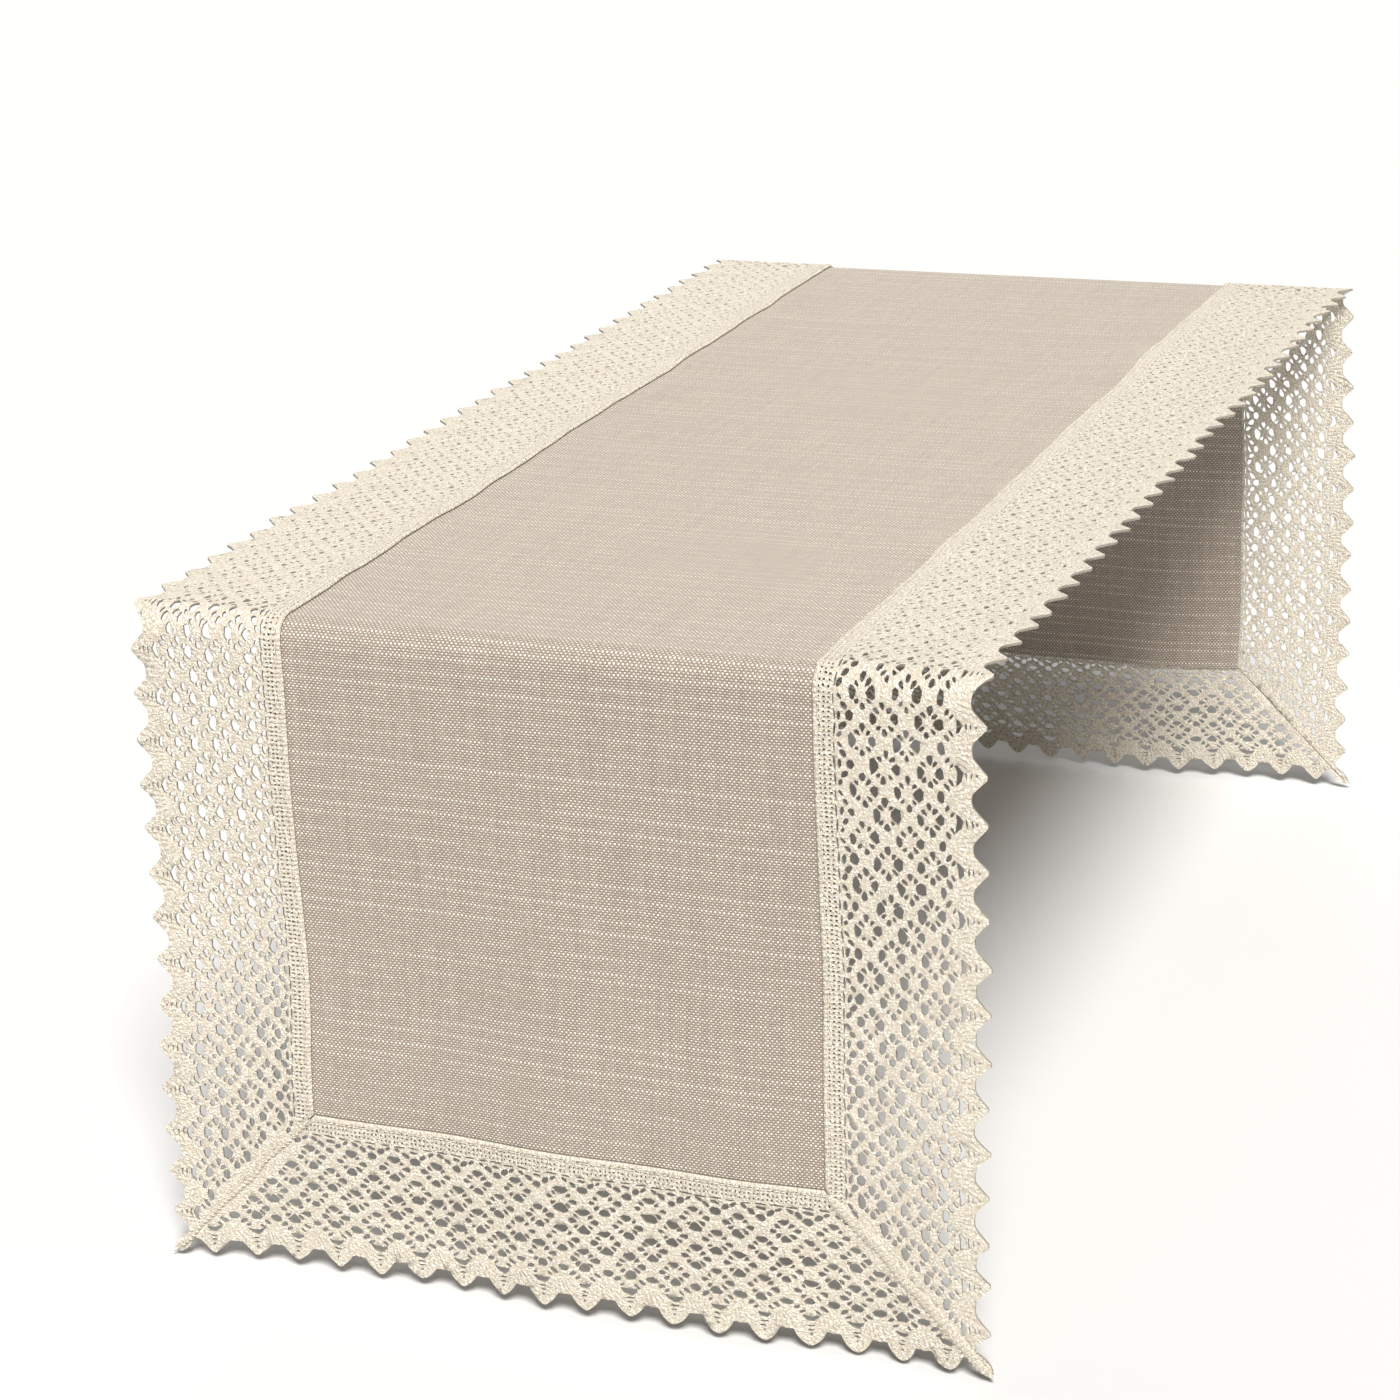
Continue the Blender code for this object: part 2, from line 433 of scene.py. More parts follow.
def slub_weave():
    """Taupe threads along the runner, crossed by cream ones that show as staggered dashes and slubs, with
    shade painted in the small gaps between threads.
    """
    sizes = bpy.context.scene.runner_cloth
    pot = Recipe("slub_weave")
    flat, across, along = pot.flat_place()
    drift = pot.times(pot.maths("SUBTRACT", pot.noise(flat, 60.0, 1.0), 0.5), 0.7)
    column = pot.maths("DIVIDE", across, sizes.warp_pitch)
    row = pot.maths("ADD", pot.maths("DIVIDE", along, sizes.weft_pitch), drift)
    column_name = pot.maths("FLOOR", column)
    row_name = pot.maths("FLOOR", row)
    from_middle_x = pot.maths("ABSOLUTE", pot.maths("SUBTRACT", pot.maths("FRACT", column), 0.5))
    from_middle_y = pot.maths("ABSOLUTE", pot.maths("SUBTRACT", pot.maths("FRACT", row), 0.5))
    odd = pot.maths("MODULO", pot.maths("ABSOLUTE", pot.maths("ADD", column_name, row_name)), 2.0)
    dash_over = pot.maths("LESS_THAN", odd, 0.5)

    along_row = pot.noise(pot.joined(pot.times(across, 42.0), pot.times(row_name, 7.31)), 1.0, 3.0, 0.6)
    bundle = pot.maths("FLOOR", pot.maths("DIVIDE", row_name, sizes.slub_spacing))
    picked = pot.maths("FLOOR", pot.times_plus(pot.chance(bundle), sizes.slub_spacing - 2.0, 1.0))
    in_bundle = pot.maths("SUBTRACT", row_name, pot.times(bundle, sizes.slub_spacing))
    thick_row = pot.maths("COMPARE", in_bundle, picked, 0.5)
    liveliness = pot.times_plus(pot.chance(row_name), 0.22, pot.times(along_row, 0.95))
    liveliness = pot.times_plus(thick_row, 0.42, liveliness)
    slub = pot.ramp(liveliness, 0.72, 1.22)
    spots = pot.joined(pot.times(column_name, 3.7), pot.times(row_name, 5.3))
    cell = pot.add("ShaderNodeTexWhiteNoise", {"Vector": spots}, noise_dimensions="2D").outputs[0]
    down_column = pot.noise(pot.joined(pot.times(column_name, 5.17), pot.times(along, 16.0)), 1.0)
    thick_column = pot.times(pot.chance(column_name), pot.ramp(down_column, 0.30, 0.70))

    reach_y = pot.times_plus(slub, 0.17, 0.31)
    dash_long = pot.ramp(from_middle_x, 0.54, 0.38)
    dash_wide = pot.ramp(pot.maths("SUBTRACT", from_middle_y, reach_y), 0.06, -0.10)
    dash = pot.times(pot.times(dash_long, dash_wide), dash_over)
    strength = pot.times_plus(cell, 0.30, 0.47)
    strength = pot.times_plus(slub, 0.45, strength)
    strength = pot.times_plus(thick_column, 0.18, strength)
    dash = pot.times(dash, strength, clamp=True)

    streak = pot.noise(pot.joined(pot.times(across, 420.0), pot.times(along, 14.0)), 1.0, 3.0, 0.7)
    ground = pot.blend(pot.ramp(streak, 0.30, 0.72), rgba(sizes.ground, 0.92), rgba(sizes.ground, 1.16))
    # Painted shade: the ground thread darkens in the small gaps at the corners where threads cross, where
    # shade falls between them.
    gap_shade = pot.ramp(pot.times(from_middle_x, from_middle_y), 0.10, 0.18)
    ground = pot.blend(pot.times(gap_shade, 0.80), ground, rgba(sizes.ground, 0.28))
    pale = pot.blend(cell, rgba(sizes.dash, 0.94), rgba(sizes.dash, 1.04))
    colour = pot.blend(dash, ground, pale)

    weft_crown = pot.times(dash_long, pot.ramp(from_middle_y, 0.5, 0.0))
    warp_crown = pot.times(pot.ramp(from_middle_y, 0.56, 0.30), pot.ramp(from_middle_x, 0.5, 0.0))
    crown = pot.add("ShaderNodeMix", {0: dash_over, 2: warp_crown, 3: weft_crown}).outputs[0]
    relief = pot.times_plus(slub, 0.30, crown)
    fibre = pot.noise(flat, 2600.0, 2.0)
    relief = pot.times_plus(fibre, 0.22, relief)
    roughness = pot.times_plus(fibre, 0.16, 0.76)
    return pot.finish(colour, roughness, relief, 0.00030, 0.45)


def worked_ribs(pot, along, out):
    """Relief of worked lace: bars across its header, and ribs that fan out inside each scallop."""
    bars = pot.maths("SINE", pot.times(along, 2 * math.pi * NEEDLE_HOLES / PITCH))
    header = pot.ramp(out, 0.47 * PITCH, 0.42 * PITCH)
    turns = pot.maths("DIVIDE", along, PITCH)
    from_tip = pot.maths("SUBTRACT", turns, pot.maths("ROUND", turns))
    beyond = pot.maths("SUBTRACT", pot.maths("DIVIDE", out, PITCH), 2.55)
    bearing = pot.maths("ARCTAN2", from_tip, beyond)
    ribs = pot.maths("SINE", pot.times(bearing, 34.0))
    fan = pot.ramp(out, 2.85 * PITCH, 3.05 * PITCH)
    return pot.maths("ADD", pot.times(bars, header), pot.times(ribs, fan))


def cotton_yarn(name, loop, tint=1.0, worked=False):
    """Cream cotton in small worked loops, with shade painted into the hollows between them; loop is the size
    of one.
    """
    sizes = bpy.context.scene.runner_lace
    pot = Recipe(name)
    flat, across, along = pot.flat_place()
    push = pot.add("ShaderNodeTexNoise", {"Vector": flat, "Scale": 420.0, "Detail": 1.0}).outputs["Color"]
    push = pot.add("ShaderNodeVectorMath", {0: push, 1: (0.5, 0.5, 0.5)}, operation="SUBTRACT").outputs[0]
    push = pot.add("ShaderNodeVectorMath", {0: push, 3: loop * 1.3}, operation="SCALE").outputs[0]
    bent = pot.add("ShaderNodeVectorMath", {0: flat, 1: push}, operation="ADD").outputs[0]
    given = {"Vector": bent, "Scale": 1.0 / loop, "Smoothness": 0.35, "Randomness": 0.85}
    loops = pot.add("ShaderNodeTexVoronoi", given, feature="SMOOTH_F1").outputs["Distance"]
    knot = pot.ramp(loops, 0.62, 0.12)
    split = pot.add("ShaderNodeSeparateXYZ", {0: bent})
    lean = pot.maths("ADD", split.outputs[0], pot.times(split.outputs[1], 0.7))
    ply = pot.maths("SINE", pot.times(lean, 2 * math.pi / (loop * 0.62)))
    fibre = pot.noise(flat, 3800.0, 2.0)
    relief = pot.times_plus(ply, 0.16, knot)
    relief = pot.times_plus(fibre, 0.25, relief)
    if worked:
        relief = pot.times_plus(worked_ribs(pot, across, along), 0.30, relief)
    tone = pot.noise(flat, 34.0, 3.0)
    warm = pot.blend(pot.ramp(tone, 0.3, 0.75), rgba(sizes.yarn, tint), rgba(sizes.yarn, 1.03 * tint))
    speck = pot.ramp(pot.noise(bent, 620.0, 2.0, 0.7), 0.50, 0.66)
    # Painted shade: darker towards the rim of each loop, where shade falls in the hollows between loops,
    # with fine dark specks of painted shade between threads added.
    painted_shade = pot.times(pot.ramp(loops, 0.34, 0.66), 0.75)
    painted_shade = pot.times_plus(speck, 0.42, painted_shade, clamp=True)
    colour = pot.blend(painted_shade, warm, rgba(sizes.painted_loop_shade, tint))
    roughness = pot.times_plus(fibre, 0.15, 0.80)
    return pot.finish(colour, roughness, relief, loop * 0.50, 0.30)


# ---- the woven cloth


CLOTH_CELL = (0.0040, 0.0030)  # size of one face of the cloth, across and along
ROW_SWELL = math.exp(-10.5)  # how much the middling crossing thread stands up
SWELL_LIMIT = 0.00010  # the most that any thread stands up


class RUNNER_OT_cloth(bpy.types.Operator):
    """Weave the middle panel and lay it over the table"""

    bl_idname = "runner.cloth"
    bl_label = "Woven Cloth"

    def execute(self, context):
        columns = round(2 * CLOTH_HALF_WIDTH / CLOTH_CELL[0])
        rows = round(2 * CLOTH_HALF_LENGTH / CLOTH_CELL[1])
        width = columns + 1
        rng = np.random.default_rng(context.scene.runner_studio.seed)
        line = np.linspace(-CLOTH_HALF_WIDTH, CLOTH_HALF_WIDTH, width)
        step = np.linspace(-CLOTH_HALF_LENGTH, CLOTH_HALF_LENGTH, rows + 1)
        across, along = (a.ravel() for a in np.meshgrid(line, step))
        thick_row = np.repeat(rng.lognormal(math.log(ROW_SWELL), 0.50, rows + 1), width)
        swell = np.minimum(thick_row, SWELL_LIMIT) * (0.6 + 0.4 * wander(across + 3.1 * along, 0.09, 31))
        faces = [
            (r * width + c, r * width + c + 1, (r + 1) * width + c + 1, (r + 1) * width + c)
            for r in range(rows)
            for c in range(columns)
        ]
        top = hang(across, along, np.full_like(across, CLOTH_THICKNESS - SWELL_LIMIT) + swell)
        under = hang(across, along, np.zeros_like(across))
        flat = np.stack([across, along, np.zeros_like(across)], axis=1)
        piece = sheet_piece("slub_cloth", "cloth_panel", top, under, faces, flat, slub_weave())
        return {"FINISHED"}


# ---- the lace

# One repeat of the lace, in pitches. A place is given along the edge from a scallop's tip, and out from the
# inner edge. Angles are in degrees.

# Eight holes round a flower's solid heart: bearing, distance, half length along the bearing, half width.
FLOWER_HOLES = (
    (-90, 0.212, 0.082, 0.136),
    (90, 0.200, 0.098, 0.130),
    (0, 0.272, 0.096, 0.058),
    (180, 0.262, 0.086, 0.056),
    (-38, 0.198, 0.072, 0.040),
    (-145, 0.196, 0.066, 0.040),
    (36, 0.204, 0.074, 0.042),
    (144, 0.196, 0.068, 0.040),
)
# Hearts of the four rows of flowers.
FLOWER_HEARTS = ((0.5, 1.02), (0.0, 1.49), (0.5, 1.95), (0.0, 2.40))
# The half flowers against the header, and the holes that lead out to the scallops: place, half length,
# half width and lean.
LONE_HOLES = (
    (0.00, 0.775, 0.112, 0.084, 0),
    (-0.205, 0.645, 0.094, 0.062, 38),
    (0.205, 0.640, 0.096, 0.062, -38),
    (-0.385, 0.555, 0.074, 0.046, 30),
    (0.380, 0.555, 0.082, 0.042, -35),
    (0.00, 0.560, 0.100, 0.042, 8),
    (0.50, 2.640, 0.132, 0.076, 0),
    (0.275, 2.750, 0.088, 0.046, 28),
    (-0.275, 2.750, 0.088, 0.046, -28),
    (0.165, 2.850, 0.070, 0.032, 34),
    (-0.165, 2.850, 0.070, 0.032, -34),
    (0.00, 3.020, 0.175, 0.060, 0),
    (0.00, 3.150, 0.096, 0.022, 0),
    (0.00, 3.255, 0.072, 0.021, 0),
    (0.00, 3.365, 0.034, 0.026, 0),
)
PETAL_TAPER = 0.42  # how much a flower's holes narrow towards its heart
SLIT_WIDTH = 0.030  # a lone hole narrower than this is a slit
SCALLOP_FOOT = 2.9  # a lone hole farther out than this bends round its scallop
FOOT_BEND = 0.075  # by this much at its two ends
NEEDLE_ROWS = (0.130, 0.240, 0.350)
NEEDLE_HOLES = 10
HEADER_ROW = 0.455  # the row of slits next to the needle holes
HEADER_SLITS = 3
PATTERN_WIDTH = 3.643

PULLED_OPEN = 1.06  # size of the holes where the lace hangs, as a share
CLOSED_UP = 0.50  # this share is taken off where the lace lies on the table
EDGE_STEP = 0.0021  # spacing of the points along a strip's straight edges
MITRE_GAP = 0.0004  # each strip stops this far short of the mitre's line
HOLE_MARGINS = (0.0016, 0.0012)  # large and small holes keep this far from a mitred end
EDGE_CORDS = (0.00060, 0.00135)  # two rows of relief points, this far out from the inner edge
CORD_STEP = 0.0036  # their spacing
RING_REACH = 0.00042  # the ring of points round a hole lies this far out from its rim
SCATTER = 0.0056  # spacing of the loose points between the holes
CLOSEST = 0.00145  # one relief point in a square of this size
CLOSEST_TO_RIM = 0.00033


def petal_hole(place, bearing, half_long, half_wide, sides, taper, rng, bend=0.0):
    """A worked hole: an oval that narrows towards the heart it points at, a little uneven.

    bend turns the oval into a crescent, whose ends lie that much nearer the lace's inner edge.
    """
    wobble = bpy.context.scene.runner_lace.wobble
    turns = (np.arange(sides) + rng.uniform(0.3, 0.7)) * 2 * math.pi / sides
    stretch = 1.0 + rng.uniform(-wobble, wobble, sides)
    size = 1.0 + rng.uniform(-wobble, wobble)
    ahead = half_long * size * np.cos(turns) * stretch
    beside = half_wide * size * np.sin(turns) * stretch * (1.0 + taper * np.cos(turns))
    beside = beside - bend * (ahead / half_long) ** 2
    bearing = bearing + rng.uniform(-0.10, 0.10)
    c, s = math.cos(bearing), math.sin(bearing)
    shift = rng.uniform(-0.014, 0.014, 2)
    u = place[0] + shift[0] + ahead * c - beside * s
    v = place[1] + shift[1] + ahead * s + beside * c
    return np.stack([u, v], axis=1)


def repeat_holes(rng):
    """Every hole of one repeat, as outlines in pitches, the big ones first."""
    large = []
    small = []
    for middle in FLOWER_HEARTS:
        heart = np.array(middle) + rng.uniform(-0.018, 0.018, 2)
        twist = rng.uniform(-7.0, 7.0)
        spread = rng.uniform(0.94, 1.06)
        for bearing, distance, half_long, half_wide in FLOWER_HOLES:
            angle = math.radians(bearing + twist)
            reach = distance * spread
            place = (heart[0] + reach * math.cos(angle), heart[1] + reach * math.sin(angle))
            large.append(petal_hole(place, angle, half_long, half_wide, 7, PETAL_TAPER, rng))
    for u, v, half_long, half_wide, lean in LONE_HOLES:
        slit = half_wide < SLIT_WIDTH
        bend = 0.0 if v < SCALLOP_FOOT or slit else FOOT_BEND
        sides = 5 if slit else 7
        hole = petal_hole((u, v), math.radians(lean), half_long, half_wide, sides, 0.0, rng, bend)
        (small if slit else large).append(hole)
    for v in NEEDLE_ROWS:
        for i in range(NEEDLE_HOLES):
            u = (i + 0.5) / NEEDLE_HOLES - 0.5
            small.append(petal_hole((u, v), 0.0, 0.024, 0.032, 4, 0.0, rng))
    for i in range(HEADER_SLITS):
        u = (i + 0.5) / HEADER_SLITS - 0.5
        small.append(petal_hole((u, HEADER_ROW), 0.0, 0.130, 0.021, 6, 0.0, rng))
    return large, small


def scallop_edge(count, depth, roundness, rng):
    """The lace's outer edge, with a tip at every pitch and a broad one at each mitred end.

    roundness is 1 for round lobes and 0 for pointed cusps, at the first tip and at the last one. t is the
    place between two valleys, and 0 at the tip.
    """
    spots = []
    for i in range(count + 1):
        share = roundness[0] + (roundness[1] - roundness[0]) * i / count
        tip = depth * rng.uniform(0.88, 1.0)
        skew = rng.uniform(-0.04, 0.04)
        for t in (-0.42, -0.34, -0.27, -0.20, -0.12, -0.04, 0.04, 0.12, 0.20, 0.27, 0.34, 0.42, 0.50):
            lobe = (1.0 - min(abs(t) / 0.31, 1.0) ** 1.9) ** (1 / 1.9) + 0.10 * (2 * t) ** 8
            cusp = 1.0 - abs(math.sin(math.pi * t)) ** 0.9
            rise = tip * (share * lobe + (1.0 - share) * cusp)
            if i in (0, count):
                rise = depth * (1.0 - abs(2 * t) ** 2.6)
            spots.append(((i + t + skew * (1.0 - abs(2 * t))) * PITCH, LACE_WIDTH + rise - depth))
    return np.array([s for s in spots if 0.0 <= s[0] <= count * PITCH])


def lace_outline(count, depth, roundness, rng):
    """The mitred strip's outline in metres: (along its edge, out from the inner edge)."""
    length = count * PITCH
    edge = scallop_edge(count, depth, roundness, rng)
    slope = LACE_WIDTH - edge[:, 1] + MITRE_GAP
    edge = edge[(edge[:, 0] > slope) & (edge[:, 0] < length - slope)]
    low = LACE_WIDTH + MITRE_GAP
    high = length - low
    inner = [(u, 0.0) for u in np.arange(low, high, EDGE_STEP)]
    left = [(low - v, v) for v in np.arange(EDGE_STEP, edge[0][1] - 0.001, EDGE_STEP)]
    right = [(high + v, v) for v in np.arange(EDGE_STEP, edge[-1][1] - 0.001, EDGE_STEP)]
    return np.array([*inner, (high, 0.0), *right, *edge[::-1].tolist(), *reversed(left)])


def clear_of_mitre(hole, length, margin):
    """True if the whole hole lies inside the strip, clear of its two mitred ends."""
    slope = LACE_WIDTH - hole[:, 1] + margin
    return bool(np.all(hole[:, 0] > slope) and np.all(hole[:, 0] < length - slope))


def near_tree(spots):
    """A search tree that finds the nearest of some flat spots."""
    tree = KDTree(len(spots))
    for i, spot in enumerate(spots):
        tree.insert((spot[0], spot[1], 0.0), i)
    tree.balance()
    return tree


def fill_points(outline, holes, large, length, rng):
    """Points inside the lace that carry its relief: rings round the large holes, cords and a scatter."""
    spots = []
    for rim in (outline, *holes):
        ahead = np.roll(rim, -1, axis=0)
        for share in (0.0, 0.33, 0.67):
            spots.append(rim + (ahead - rim) * share)
    tree = near_tree(np.concatenate(spots))
    wanted = []
    for hole in large:
        middle = hole.mean(axis=0)
        out = hole - middle
        reach = np.linalg.norm(out, axis=1, keepdims=True)
        wanted.append(hole + out / reach * RING_REACH)
    cord = np.arange(LACE_WIDTH, length - LACE_WIDTH, CORD_STEP)
    wanted.append(np.stack([cord, np.full_like(cord, EDGE_CORDS[0])], axis=1))
    wanted.append(np.stack([cord + CORD_STEP / 2, np.full_like(cord, EDGE_CORDS[1])], axis=1))
    u, v = np.meshgrid(np.arange(0.0, length, SCATTER), np.arange(0.002, LACE_WIDTH, SCATTER))
    scatter = np.stack([u.ravel(), v.ravel()], axis=1)
    wanted.append(scatter + rng.uniform(-0.35, 0.35, scatter.shape) * SCATTER)
    kept = []
    taken = set()
    for spot in np.concatenate(wanted):
        near = LACE_WIDTH - spot[1] + 2 * MITRE_GAP
        if spot[0] < near or spot[0] > length - near:
            continue
        key = (int(spot[0] / CLOSEST), int(spot[1] / CLOSEST))
        if key in taken or tree.find((spot[0], spot[1], 0.0))[2] < CLOSEST_TO_RIM:
            continue
        taken.add(key)
        kept.append(spot)
    return np.array(kept)


def work_lace(count, roundness, lying, seed):
    """One mitred strip of lace, flat: its points, its triangles and each point's distance to a rim.

    lying is how much of the strip lies on the table, where its holes aren't pulled open by their weight.
    """
    sizes = bpy.context.scene.runner_lace
    rng = np.random.default_rng(seed)
    length = count * PITCH
    across_scale = LACE_WIDTH / PATTERN_WIDTH
    outline = lace_outline(count, sizes.scallop_depth, roundness, rng)
    large = []
    small = []
    for i in range(count + 1):
        for found, kept, margin in zip(repeat_holes(rng), (large, small), HOLE_MARGINS):
            for hole in found:
                hole = np.stack([(hole[:, 0] + i) * PITCH, hole[:, 1] * across_scale], axis=1)
                middle = hole.mean(axis=0)
                slack = smooth_step(0.0, 0.03, lying / 2 - abs(middle[0] - length / 2))
                hole = middle + (hole - middle) * (PULLED_OPEN - CLOSED_UP * slack)
                if clear_of_mitre(hole, length, margin):
                    kept.append(hole)
    holes = large + small
    inside = fill_points(outline, holes, large, length, rng)
    rims = [outline, *holes]
    points = np.concatenate([*rims, inside])
    ends = np.cumsum([len(rim) for rim in rims])
    loops = [list(range(end - len(rim), end)) for end, rim in zip(ends, rims)]
    made = delaunay_2d_cdt([Vector(p) for p in points.tolist()], [], loops, 1, 1e-7, True)
    places, faces, from_loops = made[0], made[2], made[5]
    faces = [tuple(face) for face, source in zip(faces, from_loops) if source == [0]]
    used = sorted({i for face in faces for i in face})
    renumber = {old: new for new, old in enumerate(used)}
    faces = [tuple(renumber[i] for i in face) for face in faces]
    flat = np.array([places[i][:2] for i in used])
    rim = sorted({i for edge in rim_edges(faces) for i in edge})
    tree = near_tree(flat[rim])
    far = np.array([tree.find((p[0], p[1], 0.0))[2] for p in flat])
    return flat, faces, far


def lace_relief(flat, far, rng):
    """Half the lace's thickness at each point: full in the solid parts, thin at the rims of its holes."""
    rise = bpy.context.scene.runner_lace.bar_rise
    crown = 0.74 + 0.26 * np.sqrt(np.clip(far / rise, 0.0, 1.0))
    crown = crown * (1.0 + rng.uniform(-0.10, 0.06, len(crown)) * (far > 0))
    cord = np.exp(-(((flat[:, 1] - EDGE_CORDS[0]) / 0.00045) ** 2))
    crown = crown * (1.0 + 0.30 * cord * (far > 0))
    return crown * YARN_THICKNESS / 2


def lace_piece(side, count, roundness, lying, seed, lay, finish):
    """Makes one strip. lay turns (along the edge, out from the inner edge) into (across, along)."""
    flat, faces, far = work_lace(count, roundness, lying, seed)
    rng = np.random.default_rng(seed + 100)
    half = lace_relief(flat, far, rng)
    lean = (flat[:, 1] / LACE_WIDTH) ** 2
    u = flat[:, 0] + 0.0006 * lean * wander(flat[:, 0], 0.031, seed + 1)
    v = flat[:, 1] + 0.0004 * lean * wander(flat[:, 0], 0.047, seed + 2)
    across, along = lay(u, v)
    faces = facing_up(np.stack([across, along], axis=1), faces)
    middle = LACE_UNDERSIDE + LACE_THICKNESS / 2
    sewn_down = SEWN_DIP * (1.0 - smooth_step(0.0005, 0.0045, flat[:, 1]))
    rolled = np.where(flat[:, 1] < 0.0003, ROLLED_EDGE, 0.0)
    top = hang(across, along, middle + half - rolled)
    under = hang(across, along, middle - half - sewn_down)
    base = np.stack([flat[:, 0] + 2.0 * (seed % 5), flat[:, 1], np.zeros(len(flat))], axis=1)
    piece = sheet_piece(side + "_lace_strip", LACE_NODES[side], top, under, faces, base, finish)


class RUNNER_OT_lace(bpy.types.Operator):
    """Work the four mitred strips of scalloped lace"""

    bl_idname = "runner.lace"
    bl_label = "Lace Border"

    def execute(self, context):
        finish = cotton_yarn("lace_cotton", 0.00115, worked=True)
        inner_along = HALF_LENGTH - LACE_WIDTH
        lays = {
            "left": lambda u, v: (-(LACE_INNER_X + v), u - HALF_LENGTH),
            "right": lambda u, v: (LACE_INNER_X + v, u - HALF_LENGTH),
            "near": lambda u, v: (u - HALF_WIDTH, -(inner_along + v)),
            "far": lambda u, v: (u - HALF_WIDTH, inner_along + v),
        }
        lying = context.scene.runner_drape.table_span
        strips = {
            "left": (SIDE_SCALLOPS, (0.25, 0.15), lying, 41),
            "right": (SIDE_SCALLOPS, (0.10, 0.30), lying, 52),
            "near": (END_SCALLOPS, (0.30, 0.90), 0.0, 63),
            "far": (END_SCALLOPS, (0.80, 0.40), 0.0, 74),
        }
        for side, strip in strips.items():
            lace_piece(side, *strip, lays[side], finish)
        return {"FINISHED"}


# ---- threads and seams


ROW_INSET = 0.001  # a row of stitches stops this far short of the next row


def sewn_piece(name, node, parts, finish):
    """Joins threads, each given as flat points and faces, into one piece laid over the table."""
    points = np.concatenate([part[0] for part in parts])
    faces = []
    start = 0
    for part_points, part_faces in parts:
        faces.extend(tuple(start + i for i in face) for face in part_faces)
        start += len(part_points)
    places = hang(points[:, 0], points[:, 1], points[:, 2])
    piece = new_piece(name, node, places, faces, points, finish)


def four_sides(x, y):
    """Start, end and outward direction of each side of a rectangle on the flat runner."""
    corners = {
        "left": ((-x, -y), (-x, y), (-1, 0)),
        "right": ((x, -y), (x, y), (1, 0)),
        "near": ((-x, -y), (x, -y), (0, -1)),
        "far": ((-x, y), (x, y), (0, 1)),
    }
    return {side: [np.array(place, dtype=float) for place in found] for side, found in corners.items()}


def stitch_row(start, end, middle, rng):
    """A row of single stitches on the flat runner, which stops a little short of start and end."""
    sizes = bpy.context.scene.runner_sewing
    ahead = (end - start) / np.linalg.norm(end - start)
    start = start + ahead * ROW_INSET
    end = end - ahead * ROW_INSET
    length = np.linalg.norm(end - start)
    count = max(int(length / sizes.stitch_length), 1)
    step = length / count
    beside = np.array([-ahead[1], ahead[0]])
    parts = []
    shape = np.linspace(-0.5, 0.5, 5)
    for i in range(count):
        centre = start + ahead * step * (i + 0.5) + beside * rng.normal(0.0, 0.00008)
        run = ahead * step * 0.90 + beside * rng.normal(0.0, 0.00010)
        flat = centre[None, :] + shape[:, None] * run[None, :]
        dip = middle - 0.00032 * (2 * shape) ** 4
        path = np.concatenate([flat, dip[:, None]], axis=1)
        plump = sizes.thread_width * np.array([0.45, 0.95, 1.10, 0.95, 0.45])
        parts.append(tube_along(path, plump, plump * 0.85, 6))
    return parts


class RUNNER_OT_join_stitches(bpy.types.Operator):
    """Sew the lace down along its inner edge, one stitch at a time"""

    bl_idname = "runner.join_stitches"
    bl_label = "Join Stitches"

    def execute(self, context):
        finish = cotton_yarn("sewing_cotton", 0.0005, 1.02)
        middle = LACE_UNDERSIDE + LACE_THICKNESS / 2 + YARN_THICKNESS / 2 + 0.00005
        x = (STITCH_LOW.x + STITCH_HIGH.x) / 2
        y = HALF_LENGTH - LACE_WIDTH + (x - LACE_INNER_X)
        rng = np.random.default_rng(context.scene.runner_studio.seed + 3)
        for side, (start, end, _) in four_sides(x, y).items():
            parts = stitch_row(start, end, middle, rng)
            sewn_piece(side + "_join_stitches", "join_stitch_" + side, parts, finish)
        return {"FINISHED"}


OVERLOCK_THREAD = 0.00030
OVERLOCK_BITE = 0.0030  # how far in from the raw edge the loops reach
LIFTED = 0.00017  # how far the thread's middle lies off the cloth


def overlock_loops(start, end, outward):
    """Thread that wraps the cloth's raw edge from start to end: slanted bars above, below and round it."""
    sizes = bpy.context.scene.runner_sewing
    length = np.linalg.norm(end - start)
    ahead = (end - start) / length
    count = int(length / sizes.overlock_pitch)
    step = length / count
    middle = CLOTH_THICKNESS / 2
    lift = CLOTH_THICKNESS / 2 + LIFTED
    # (share of a step ahead, distance in from the edge, height) round one loop
    turn = (
        (0.00, OVERLOCK_BITE, middle),
        (0.04, OVERLOCK_BITE - 0.0004, middle + lift),
        (0.30, 0.0004, middle + lift),
        (0.42, -0.00045, middle + lift * 0.6),
        (0.50, -0.00055, middle),
        (0.58, -0.00045, middle - lift * 0.6),
        (0.70, 0.0004, middle - lift * 0.55),
        (0.96, OVERLOCK_BITE - 0.0004, middle - lift * 0.55),
    )
    path = []
    for i in range(count):
        for share, inset, height in turn:
            flat = start + ahead * step * (i + share) - outward * inset
            path.append((flat[0], flat[1], height))
    return [tube_along(np.array(path), OVERLOCK_THREAD, OVERLOCK_THREAD, 4)]


class RUNNER_OT_overlocks(bpy.types.Operator):
    """Bind the cloth's raw edges under the lace"""

    bl_idname = "runner.overlocks"
    bl_label = "Edge Overlocks"

    def execute(self, context):
        finish = cotton_yarn("overlock_cotton", 0.0004, 0.96)
        edges = four_sides(CLOTH_HALF_WIDTH, CLOTH_HALF_LENGTH)
        for side, (start, end, outward) in edges.items():
            parts = overlock_loops(start, end, outward)
            sewn_piece(side + "_overlock", "edge_overlock_" + side, parts, finish)
        return {"FINISHED"}


